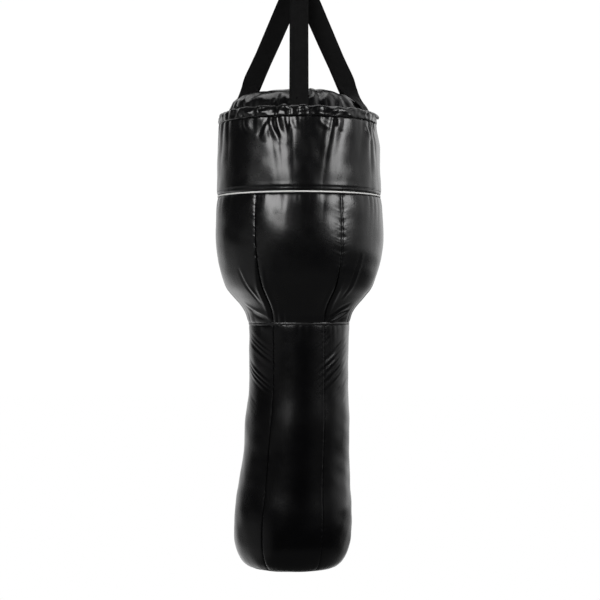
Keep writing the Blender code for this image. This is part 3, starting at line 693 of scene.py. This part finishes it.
def collar_relief(turn, down, height, radius, points):
    up = down.max() - down
    push = 0.0006 + 0.0012 * lumps(points, 0.16, 23) + 0.0003 * lumps(points, 0.05, 24)
    push += 0.0030 * hem_folds(turn) * np.exp(-((down / 0.024) ** 1.1)) - drawn_in(turn, height)
    folds = ring_gathers(turn, COLLAR_RADIUS, 0.052, 101, 1.0, 0.25 * down * np.sin(3 * turn))
    push += 0.0034 * folds * np.exp(-((down / 0.085) ** 1.3))
    push -= 0.0010 * np.exp(-down / 0.0035)
    # a pinched tuck left of the front strap, opening downwards, and smaller ones beside it
    for start, end, depth in (
        ((-21, 1.186), (-30, 1.135), 0.0050),
        ((-20, 1.186), (-13, 1.112), -0.0050),
        ((-4, 1.186), (-7, 1.160), 0.0035),
        ((14, 1.186), (20, 1.150), -0.0038),
        ((27, 1.186), (24, 1.158), 0.0035),
        ((-44, 1.186), (-40, 1.140), 0.0040),
        ((52, 1.186), (60, 1.130), -0.0042),
        ((100, 1.186), (96, 1.128), 0.0045),
        ((-104, 1.186), (-112, 1.135), -0.0045),
        ((164, 1.186), (158, 1.120), 0.0045),
        ((-158, 1.186), (-150, 1.130), -0.0045),
    ):
        push += 0.6 * crease(turn, height, start, end, depth, 0.0085, COLLAR_RADIUS)
    push += 0.0007 * piping_gathers(turn) * np.exp(-up / 0.010)
    push -= 0.0014 * np.exp(-((up - 0.010) / 0.0016) ** 2)
    push -= 0.0012 * np.exp(-up / 0.003)
    return push


def hem_relief(turn, down, height, radius, points):
    middle = np.sin(math.pi * np.clip(down / down.max(), 0.0, 1.0))
    bulge = HEM_EDGE_SHARE + (1 - HEM_EDGE_SHARE) * middle
    push = 0.0006 * lumps(points, 0.03, 33) + HEM_GATHER * hem_folds(turn) * bulge
    push += 0.0005 * ring_gathers(turn, COLLAR_RADIUS, 0.0130, 109, 0.9, 0.5 * down) * bulge
    push += 0.0018 * lumps(points * np.array([1.0, 1.0, 2.0]), 0.034, 111) * middle
    return push - drawn_in(turn, height)


def panel_bearings(k, radius):
    """Bearings in degrees across one panel."""
    start = k * PANEL_SWEEP - PANEL_SWEEP / 2
    count = int(round(math.radians(PANEL_SWEEP) * radius / STEP))
    return np.linspace(start, start + PANEL_SWEEP, count + 1)


def ring_bearings(radius, step=STEP):
    """Bearings in degrees all the way round, from the back."""
    count = int(round(2 * math.pi * radius / step))
    return np.linspace(-180.0, 180.0, count, endpoint=False)


def make_leather():
    panels = (
        ("stuffed_head_gore", "head_gore", HEAD_STATIONS, 0.205, head_relief, LEATHER),
        ("stuffed_column_panel", "column_panel", COLUMN_STATIONS, 0.145, column_relief, LEATHER_COLUMN_SHADED),
    )
    for k in range(PANELS):
        for name, node, stations, radius, relief, material in panels:
            skin = turned_skin(f"{name}_{k + 1}", stations, panel_bearings(k, radius), relief, material)
            finish(skin, "bag", "black_leather", f"{node}_{k + 1}")
    turns = ring_bearings(COLLAR_RADIUS)
    collar = turned_skin("collar_band_leather", COLLAR_STATIONS, turns, collar_relief, LEATHER, wrap=True)
    finish(collar, "bag", "black_leather", "collar_cover")
    turns = ring_bearings(COLLAR_RADIUS, 0.0026)
    hem = turned_skin("collar_hem_roll", HEM_STATIONS, turns, hem_relief, LEATHER, True, 0.0022, 0.0022)
    finish(hem, "bag", "black_leather", "collar_hem")


def make_foam():
    """Foam jackets under the leather, set back so that the stitched valleys stay clear of them."""
    set_back = 0.0085
    step = 0.009
    wall = 0.020
    top = ((1.190, 0.190), (1.150, 0.194), (1.060, 0.200))
    head = tuple((h, r - set_back) for h, r in HEAD_STATIONS[:-1])
    column = tuple((h, r - set_back) for h, r in COLUMN_STATIONS[:-2])
    jackets = (
        ("foam_jacket_head", top + head + ((NECK_HEIGHT + 0.001, 0.1260),), "foam_head"),
        ("foam_jacket_column", column, "foam_column"),
    )

    def cells(turn, down, height, radius, points):
        return 0.0006 * lumps(points, 0.04, 161)

    for name, stations, node in jackets:
        jacket = turned_skin(name, stations, ring_bearings(0.2, step), cells, FOAM, True, step, wall)
        finish(jacket, "bag", "grey_foam", node)


def finish(piece, body, slot, *nodes):
    if nodes:
        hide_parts(*nodes)
    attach(piece, body)
    return piece


def closed_cord(name, path, radius, material):
    """A round cord along a path that meets itself."""
    sides = 12
    along = np.roll(path, -1, 0) - np.roll(path, 1, 0)
    along /= np.linalg.norm(along, axis=1)[:, None]
    side = np.cross(along[0], [0.0, 0.0, 1.0])
    turn = np.linspace(0, 2 * math.pi, sides, endpoint=False)
    rings = []
    for centre, way in zip(path, along):
        side = side - way * np.dot(side, way)
        side /= np.linalg.norm(side)
        other = np.cross(way, side)
        rings.append(centre + radius * (np.cos(turn)[:, None] * side + np.sin(turn)[:, None] * other))
    i, j = np.meshgrid(np.arange(len(path)), np.arange(sides), indexing="ij")
    k = (j + 1) % sides
    here, ahead = i * sides, (i + 1) % len(path) * sides
    faces = np.stack([here + j, here + k, ahead + k, ahead + j], axis=-1).reshape(-1, 4)
    return mesh_object(name, np.concatenate(rings), faces, material)


def make_piping():
    turn = np.linspace(0, 2 * math.pi, 480, endpoint=False)
    out = 0.2182 + 0.0005 * piping_gathers(turn)
    path = np.stack([out * np.sin(turn), -out * np.cos(turn), 0 * turn + level(PIPING_HEIGHT)], axis=1)
    finish(closed_cord("collar_piping_cord", path, 0.0021, PIPING), "bag", "white_piping", "collar_piping")


def make_binding():
    """The narrow binding over the seam between the head and the column."""

    def relief(turn, down, height, radius, points):
        return 0.0008 * neck_gathers(turn) + 0.0002 * ring_gathers(turn, 0.14, 0.014, 131)

    near = 0.1346
    profile = (
        (0.0058, -0.0022),
        (0.0042, 0.0002),
        (0.0015, 0.0010),
        (-0.0015, 0.0009),
        (-0.0042, -0.0002),
        (-0.0060, -0.0024),
    )
    stations = tuple((NECK_HEIGHT + up, near + out) for up, out in profile)
    turns = ring_bearings(0.137, 0.002)
    binding = turned_skin("neck_seam_binding", stations, turns, relief, LEATHER_FOOT, True, 0.0012, 0.0012)
    finish(binding, "bag", "black_leather", "neck_binding")


def polar_cap(name, radii, heights, bearings, place, material, relief, wrap=False):
    """A disc or half disc of rings, the innermost too small to need closing."""
    turn = np.radians(bearings)[None, :]
    r = np.asarray(radii)[:, None] + 0 * turn
    h = np.asarray(heights)[:, None] + 0 * turn
    turn = turn + 0 * r
    h = h + relief(turn, r)
    points = place(r * np.sin(turn), -r * np.cos(turn), h)
    rows, columns = r.shape
    return mesh_object(name, points.reshape(-1, 3), grid_faces(rows, columns, wrap), material)


def make_lid():
    """Two crowned halves with soft radial folds, either side of the zip."""
    line, _ = smooth_line(LID_STATIONS, 0.0050)
    rim = line[:, 1].max()

    def folds(turn, r):
        outer = np.clip((r - 0.060) / 0.120, 0, 1)
        tail = np.clip((rim - r) / 0.012, 0, 1)
        swirl = turn + 1.2 * (r - 0.19)
        fold = 0.0050 * drift(turn, 0.9, 141) + 0.0075 * gathers(swirl * 0.19, 0.070, 143, 0.8)
        fine = 0.0016 * gathers(swirl * 0.19, 0.021, 145, 0.8)
        shoulder = 0.0060 * np.exp(-(((turn + 1.05) / 0.55) ** 2)) * np.exp(-(((r - 0.165) / 0.03) ** 2))
        notch = -0.0110 * np.exp(-(((turn - 0.98) / 0.20) ** 2)) * np.exp(-(((r - 0.150) / 0.045) ** 2))
        return (fold * outer**1.3 + fine * outer**2.5 + shoulder + notch) * (0.2 + 0.8 * tail)

    def place_on(sign):
        def place(x, y, h):
            aside = LID_GAP + np.abs(y) * (1 - LID_GAP / LID_RADIUS)
            return np.stack([x, sign * aside, h + GROUND], axis=-1)

        return place

    radii = np.maximum(line[:, 1], 0.0004)
    count = 101
    for name, node, sign, first in (
        ("lid_half_front", "lid_front", -1.0, -90.0),
        ("lid_half_back", "lid_back", 1.0, 90.0),
    ):
        bearings = np.linspace(first, first + 180.0, count)
        half = polar_cap(name, radii, line[:, 0], bearings, place_on(sign), LEATHER, folds)
        grid = np.arange(len(radii) * count).reshape(len(radii), count)
        edges = (grid[-1:], grid[:3], grid[:, :2], grid[:, -2:])
        held = np.unique(np.concatenate([edge.ravel() for edge in edges]))
        settle(half, held, growth=0.055, pressure=1.5, cap=0.010, bending=12.0)
        smooth = half.modifiers.new("Smooth", "SUBSURF")
        smooth.levels = smooth.render_levels = 1
        solidify(half, 0.0025)
        finish(half, "bag", "black_leather", node)


def make_base():
    low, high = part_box("base_disc")
    centre = (low + high) / 2
    radius = (high.y - low.y) / 2

    def place(x, y, h):
        return np.stack([x + centre.x, y, h + low.z], axis=-1)

    def crown(turn, r):
        points = np.stack([r * np.sin(turn), r * np.cos(turn), 0 * r], axis=-1)
        edge = np.clip((r - radius + 0.008) / 0.008, 0, 1)
        return 0.0004 * (1 - (r / radius) ** 2) + 0.0005 * lumps(points, 0.07, 151) + 0.0022 * edge

    radii = np.linspace(0.0006, radius, 44)
    heights = np.full(len(radii), 0.0005)
    turns = -ring_bearings(radius, 0.004)
    disc = polar_cap("base_cover_disc", radii, heights, turns, place, LEATHER_FOOT, crown, wrap=True)
    solidify(disc, 0.0022)
    finish(disc, "bag", "black_leather", "base_disc")


# ---------------------------------------------------------------- webbing


def bearing(degrees):
    turn = math.radians(degrees)
    return Vector((math.sin(turn), -math.cos(turn), 0.0))


def level(height):
    return GROUND + height


def fold_height(degrees):
    return STACK_BOTTOM if abs(bearing(degrees).x) < 0.1 else SIDE_FOLD


def sag(degrees, z):
    """How far a front side strap runs inside the straight line from the rim to the stack."""
    out = bearing(degrees)
    if abs(out.x) < 0.1 or out.y > 0.0:
        return 0.0
    share = (z - level(STRAP_RIM_HEIGHT)) / (STACK_JOIN - STRAP_RIM_HEIGHT)
    return math.copysign(FRONT_SAG * (1 - share * share) * eased(share / 0.17), out.x)


def strap_path(degrees, stack_y):
    """(centre, twist share) stations of one strap, from its sewn foot in the collar to the stack."""
    out = bearing(degrees)
    wall = [(STRAP_WALL_RADIUS, STRAP_FOOT), (STRAP_WALL_RADIUS, 1.160), (0.2063, 1.187)]
    path = [(out * r + Vector((0, 0, level(h))), 1.0) for r, h in wall]
    rim = out * STRAP_RIM_RADIUS + Vector((0, 0, level(STRAP_RIM_HEIGHT)))
    reach = out.x * STRAP_RIM_RADIUS / (STACK_JOIN - STRAP_RIM_HEIGHT)
    fold = fold_height(degrees)
    turn_off = Vector((reach * (STACK_JOIN - fold), stack_y, level(fold)))
    for share in (0.0, 0.06, 0.12, 0.19, 0.27, 0.40, 0.60, 0.80):
        centre = rim.lerp(turn_off, share)
        centre.x -= sag(degrees, centre.z)
        path.append((centre, eased((TWIST_TO - share) / (TWIST_TO - TWIST_FROM))))
    path.append((turn_off - Vector((sag(degrees, turn_off.z), 0.0, 0.0)), 0.0))
    if fold < STACK_BOTTOM:
        path.append((Vector((reach * (STACK_JOIN - STACK_BOTTOM), stack_y, level(STACK_BOTTOM))), 0.0))
    path.append((Vector((0.0, stack_y, level(STACK_BEND))), 0.0))
    path.append((Vector((0.0, stack_y, level(STACK_TOP))), 0.0))
    return path


def strap_stations(degrees, stack_y):
    path = strap_path(degrees, stack_y)
    out = bearing(degrees)
    fold = level(fold_height(degrees))
    flip = -1.0 if abs(degrees) > 90.0 else 1.0
    tangent = Vector((-out.y, out.x, 0.0)) * flip
    turn = math.atan2(tangent.y, tangent.x)
    stations = []
    for i, (centre, twist) in enumerate(path):
        run = (path[min(i + 1, len(path) - 1)][0] - path[max(i - 1, 0)][0]).normalized()
        across = Vector((math.cos(turn * twist), math.sin(turn * twist), 0.0))
        across = (across - across.dot(run) * run).normalized()
        facing = across.cross(run).normalized()
        edges = []
        for side in (-1, 1):
            edge = centre + across * (side * STRAP_WIDTH / 2)
            if edge.z > fold:
                edge.y = stack_y
            edges.append(edge)
        if centre.z >= fold - 0.001:
            facing = Vector((0.0, 1.0 if facing.y > 0 else -1.0, 0.0))
        stations.append((*edges, facing))
    return stations


def resample(values, at, fine):
    """Values joined by a smooth line whose slope is the mean of the stretches that meet."""
    secant = np.diff(values, axis=0) / np.diff(at)[:, None]
    slope = np.concatenate([secant[:1], 0.5 * (secant[:-1] + secant[1:]), secant[-1:]])
    return cubic(values, slope, at, fine)


def straight(values, at, fine):
    """Values joined by straight lines."""
    return np.stack([np.interp(fine, at, values[:, c]) for c in range(3)], axis=1)


def webbing_strip(name, stations, thickness, step=0.004, across=16, linear=False):
    """Webbing through (left edge, right edge, facing) stations, with soft selvedges and fine ribs."""
    join = straight if linear else resample
    lines = [np.array([list(station[k]) for station in stations]) for k in range(3)]
    at = lengths((lines[0] + lines[1]) / 2)
    fine = np.linspace(0.0, at[-1], max(int(at[-1] / step), 8) + 1)
    left, right, facing = (join(values, at, fine) for values in lines)
    facing /= np.linalg.norm(facing, axis=1)[:, None]
    u = np.linspace(0.0, 1.0, across + 1)
    edge = np.minimum(u, 1 - u) * STRAP_WIDTH
    half = (thickness / 2) * np.clip(0.35 + 0.65 * np.sqrt(np.clip(edge / 0.0022, 0, 1)), 0, 1)
    front = left[:, None] * (1 - u)[None, :, None] + right[:, None] * u[None, :, None]
    ribs = 0.00012 * np.abs(np.sin(u * math.pi * across / 2))
    wall = facing[:, None] * (half + ribs)[None, :, None]
    loop = np.concatenate([front + wall, (front - wall)[:, ::-1]], axis=1)
    rows, columns = loop.shape[:2]
    faces = grid_faces(rows, columns, wrap=True)[:, ::-1].tolist()
    faces.append(list(range(columns)))
    faces.append(list(range((rows - 1) * columns, rows * columns))[::-1])
    uv = np.stack(np.broadcast_arrays(np.concatenate([u, u[::-1]]), fine[:, None]), axis=-1)
    return mesh_object(name, loop.reshape(-1, 3), faces, WEBBING, uv.reshape(-1, 2))


def make_straps():
    for order, (node, degrees) in enumerate(STRAPS):
        stack_y = (order - (len(STRAPS) - 1) / 2) * STRAP_PITCH
        strap = webbing_strip("webbing_" + node, strap_stations(degrees, stack_y), STRAP_THICKNESS)
        finish(strap, "bag", "black_webbing", node)


def arc(centre, across, up, radius, first, last, count):
    points = []
    for i in range(count):
        turn = math.radians(first + (last - first) * i / (count - 1))
        points.append(Vector(centre) + radius * (math.cos(turn) * across + math.sin(turn) * up))
    return points


def make_bundle():
    """The loop over the ring's bar, the keeper round the stack, and their stitching."""
    tail_y = (len(STRAPS) / 2) * STRAP_PITCH + 0.0006 + STRAP_THICKNESS / 2
    bend = RING_WIRE / 2 + 0.0006 + STRAP_THICKNESS / 2
    up = Vector((0.0, 0.0, 1.0))
    back = Vector((0.0, 1.0, 0.0))
    bar = Vector((0.0, 0.0, level(RING_BAR_HEIGHT)))
    points = [Vector((0.0, -tail_y, level(z))) for z in (STACK_BOTTOM + 0.002, 1.600, STACK_TOP + 0.002)]
    points += arc(bar, back, up, bend, 195, -15, 17)
    points += [Vector((0.0, tail_y, level(z))) for z in (STACK_TOP + 0.002, 1.600, STACK_BOTTOM + 0.002)]
    across = Vector((STRAP_WIDTH / 2, 0.0, 0.0))
    stations = []
    for i, point in enumerate(points):
        run = (points[min(i + 1, len(points) - 1)] - points[max(i - 1, 0)]).normalized()
        stations.append((point - across, point + across, Vector((0.0, -run.z, run.y))))
    loop = webbing_strip("webbing_ring_loop", stations, STRAP_THICKNESS, step=0.0015, linear=True)
    finish(loop, "bag", "black_webbing", "strap_loop")
    make_keeper()
    make_box_stitch(tail_y + STRAP_THICKNESS / 2)


def make_keeper():
    low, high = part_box("strap_keeper")
    inset = 0.0011
    x, y, r = high.x - inset, high.y - inset, 0.0040
    stations = []
    for cx, cy, first in ((x - r, r - y, -90), (x - r, y - r, 0), (r - x, y - r, 90), (r - x, r - y, 180)):
        for k in range(7):
            turn = math.radians(first + 15 * k)
            facing = Vector((math.cos(turn), math.sin(turn), 0.0))
            foot = Vector((cx, cy, low.z)) + r * facing
            stations.append((foot, Vector((foot.x, foot.y, high.z)), facing))
    stations.append(stations[0])
    band = webbing_strip("webbing_keeper_band", stations, 0.0020, step=0.0015, across=10, linear=True)
    finish(band, "bag", "black_webbing", "strap_keeper")


def stitch_run(start, end, facing):
    """A line of stitches, each a (middle, way, facing, length, thickness)."""
    pitch = 0.0042
    long = 0.0032
    thick = 0.0005
    start, end, facing = (np.array(v, float) for v in (start, end, facing))
    way = end - start
    length = np.linalg.norm(way)
    way /= length
    count = max(int(length / pitch), 1)
    places = [start + way * pitch * (k + 0.5) for k in range(count)]
    return [(p, way, facing, long, thick) for p in places]


def stitches(name, runs):
    """Many stitches as one mesh: each a small rounded thread bar that dips at its ends."""
    profile = (
        (-0.5, 0.35, -0.9),
        (-0.36, 0.85, -0.1),
        (0.0, 1.0, 0.25),
        (0.36, 0.85, -0.1),
        (0.5, 0.35, -0.9),
    )
    sides = 6
    last = (len(profile) - 1) * sides
    bar = grid_faces(len(profile), sides, wrap=True).tolist()
    bar += [list(range(sides)), list(range(last + sides - 1, last - 1, -1))]
    vertices, faces = [], []
    for centre, way, facing, long, thick in runs:
        other = np.cross(way, facing)
        faces += [[len(vertices) + corner for corner in face] for face in bar]
        for along, girth, rise in profile:
            middle = centre + way * along * long + facing * rise * thick
            for j in range(sides):
                turn = 2 * math.pi * j / sides
                out = math.cos(turn) * other + math.sin(turn) * facing
                vertices.append(tuple(middle + girth * thick * out))
    return mesh_object(name, vertices, faces, THREAD)


def make_box_stitch(front):
    low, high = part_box("box_stitch")
    y = -front - 0.0002
    x0, x1, z0, z1 = low.x, high.x, low.z, high.z
    corners = [(x0, y, z0), (x1, y, z0), (x1, y, z1), (x0, y, z1)]
    runs = []
    for first, last in ((0, 1), (1, 2), (2, 3), (3, 0), (0, 2), (1, 3)):
        runs += stitch_run(corners[first], corners[last], (0, -1, 0))
    finish(stitches("bundle_box_stitching", runs), "bag", "black_thread", "box_stitch")


def ring_stitches(name, radius, height, wobble=None):
    """A line of stitches round the bag, following wobble(bearing) in and out."""
    pitch = 0.0048
    thick = 0.00042
    count = int(2 * math.pi * radius / pitch)
    runs = []
    for k in range(count):
        turn = 2 * math.pi * k / count - math.pi
        out = np.array([math.sin(turn), -math.cos(turn), 0.0])
        way = np.array([math.cos(turn), math.sin(turn), 0.0])
        reach = radius + (wobble(turn) if wobble else 0.0)
        runs.append((out * reach + np.array([0, 0, level(height)]), way, out, pitch * 0.74, thick))
    return stitches(name, runs)


def make_seam_threads():
    hem_line = HEM_BOTTOM + 0.0028

    def hem_surface(turn):
        return HEM_EDGE_SHARE * HEM_GATHER * hem_folds(turn) - drawn_in(turn, hem_line)

    finish(ring_stitches("hem_stitching", 0.2160, hem_line, hem_surface), "bag", "black_thread")
    finish(ring_stitches("collar_lower_stitching", 0.2207, COLLAR_BOTTOM + 0.0095), "bag", "black_thread")


# ---------------------------------------------------------------- zip


def make_zip():
    """Teeth that point to the two sides in turn, with their top edges trimmed."""
    low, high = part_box("zip_chain")
    pitch = 0.0024
    half_width = 0.00095
    trim = 0.0004
    vertices, faces = [], []
    for k in range(int((high.x - low.x) / pitch)):
        x = low.x + pitch * (k + 0.5)
        left, right = (-0.0006, 0.0025) if k % 2 else (-0.0025, 0.0006)
        base = len(vertices)
        for z, cut in ((low.z, 0.0), (high.z - trim, 0.0), (high.z, trim)):
            out = half_width - cut
            near, far = left + cut, right - cut
            vertices += [(x - out, near, z), (x + out, near, z), (x + out, far, z), (x - out, far, z)]
        for row in (0, 4):
            for j in range(4):
                n = (j + 1) % 4
                faces.append((base + row + j, base + row + n, base + row + 4 + n, base + row + 4 + j))
        faces.append((base + 3, base + 2, base + 1, base))
        faces.append((base + 8, base + 9, base + 10, base + 11))
    finish(mesh_object("zip_teeth", vertices, faces, ZINC, smooth=False), "bag", "zinc_zip", "zip_chain")


# ---------------------------------------------------------------- frame parts that stay


def dress_frame():
    """Better materials on the frame's own solids that show as they are."""
    for material, nodes in (
        (CANVAS, ("collar_lining",)),
        (TAPE, ("zip_tape",)),
        (ZINC, ("zip_slider", "zip_pull")),
        (FOAM, ("foam_base",)),
        (FILL, ("textile_fill",)),
        (STEEL, ("swivel_eye", "swivel_washer", "hook_body", "hook_gate", "d_ring")),
        (SPRING, ("gate_pin", "gate_spring")),
    ):
        for node in nodes:
            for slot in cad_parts[node].material_slots:
                slot.material = material


# ---------------------------------------------------------------- studio


def pale_floor():
    """A surface that glows plain white, so that the floor is as pale as the world behind it."""
    m = new_material("pale_floor")
    m.tree.nodes.clear()
    glow = m.add("ShaderNodeEmission")
    glow.inputs["Color"].default_value = (1.0, 1.0, 1.0, 1.0)
    m.join(glow.outputs[0], m.add("ShaderNodeOutputMaterial").inputs[0])
    return m.owner


def make_camera():
    data = bpy.data.cameras.new("camera")
    data.lens = data.sensor_width / 2 / (METRES_ACROSS / 2 / CAMERA_DISTANCE)
    camera = bpy.data.objects.new("camera", data)
    camera.location = (CAMERA_SIDE, -CAMERA_DISTANCE, level(CAMERA_HEIGHT))
    camera.rotation_euler = (math.radians(90), 0, 0)
    bpy.context.scene.collection.objects.link(camera)
    bpy.context.scene.camera = camera


def area_light(name, azimuth, distance, height, size, power, target_height, roll):
    """A softbox at a bearing and height, facing the bag's axis at another height."""
    data = bpy.data.lights.new(name, "AREA")
    data.shape = "RECTANGLE"
    data.size, data.size_y = size
    data.energy = power
    light = bpy.data.objects.new(name, data)
    spot = bearing(azimuth) * distance + Vector((0, 0, level(height)))
    light.location = spot
    aim = Vector((0, 0, level(target_height))) - spot
    rolled = Quaternion((0, 0, 1), math.radians(roll))
    light.rotation_euler = (aim.to_track_quat("-Z", "Y") @ rolled).to_euler()
    light.visible_camera = False
    bpy.context.scene.collection.objects.link(light)


def make_world():
    """Plain white to the camera. The leather sees a white wall behind it and dim panels at the sides."""
    world = bpy.data.worlds.new("studio")
    bpy.context.scene.world = world
    m = Nodes(world)
    m.tree.nodes.clear()
    split = m.add("ShaderNodeSeparateXYZ")
    m.join(m.add("ShaderNodeTexCoord").outputs["Generated"], split.inputs[0])
    x, y, z = split.outputs
    above = m.fade(z, -0.14, -0.06, 0.03)
    below = m.fade(z, -0.15, -0.55)
    shade_right = m.math("MULTIPLY", m.math("SUBTRACT", 1.0, above), m.fade(x, 0.10, 0.45, 0.0, 0.6))
    behind = m.math("MULTIPLY", m.fade(y, 0.47, 0.86), m.math("SUBTRACT", 1.0, shade_right))
    far_right = m.math("MULTIPLY", m.fade(x, 0.25, 0.80), m.fade(y, -0.35, 0.32, 0.10, 0.85))
    right = m.math("MULTIPLY", far_right, above)
    left = m.math("MULTIPLY", m.fade(x, -0.55, -0.90), m.fade(z, -0.01, -0.06, 0.03, 0.28))
    low_rear = m.math("MULTIPLY", below, m.fade(y, 0.10, 0.55))
    low_left = m.math("MULTIPLY", m.fade(x, -0.15, -0.55), low_rear)
    under = m.math("ADD", m.fade(z, -0.30, -0.60, 0.0, 0.10), 0.006)
    ambient = behind
    for panel in (left, right, low_left, under):
        ambient = m.math("ADD", ambient, panel)
    camera_ray = m.add("ShaderNodeLightPath").outputs["Is Camera Ray"]
    background = m.add("ShaderNodeBackground")
    background.inputs["Color"].default_value = (1.0, 1.0, 1.0, 1.0)
    m.join(m.math("MAXIMUM", camera_ray, ambient), background.inputs["Strength"])
    m.join(background.outputs[0], m.add("ShaderNodeOutputWorld").inputs[0])


def make_stage():
    scene = bpy.context.scene
    scene.view_settings.view_transform = "Standard"
    scene.view_settings.look = "None"
    make_world()
    reach = 12.0
    z = GROUND - 0.30
    corners = [(-reach, -reach, z), (reach, -reach, z), (reach, reach, z), (-reach, reach, z)]
    floor = mesh_object("floor", corners, [(0, 1, 2, 3)], pale_floor(), smooth=False)
    floor.visible_glossy = False
    floor.visible_diffuse = False
    area_light("front_left_softbox", -33, 3.0, 2.02, (2.1, 1.25), 74, 1.3, -20)
    area_light("front_right_softbox", 56, 3.0, 2.02, (1.5, 1.25), 52, 1.3, 22)
    area_light("top_softbox", 180, 0.6, 3.4, (1.8, 1.8), 20, 1.2, 0)


make_camera()
make_stage()
make_leather()
make_foam()
make_piping()
make_binding()
make_lid()
make_base()
make_straps()
make_bundle()
make_seam_threads()
make_zip()
dress_frame()

bpy.context.view_layer.update()
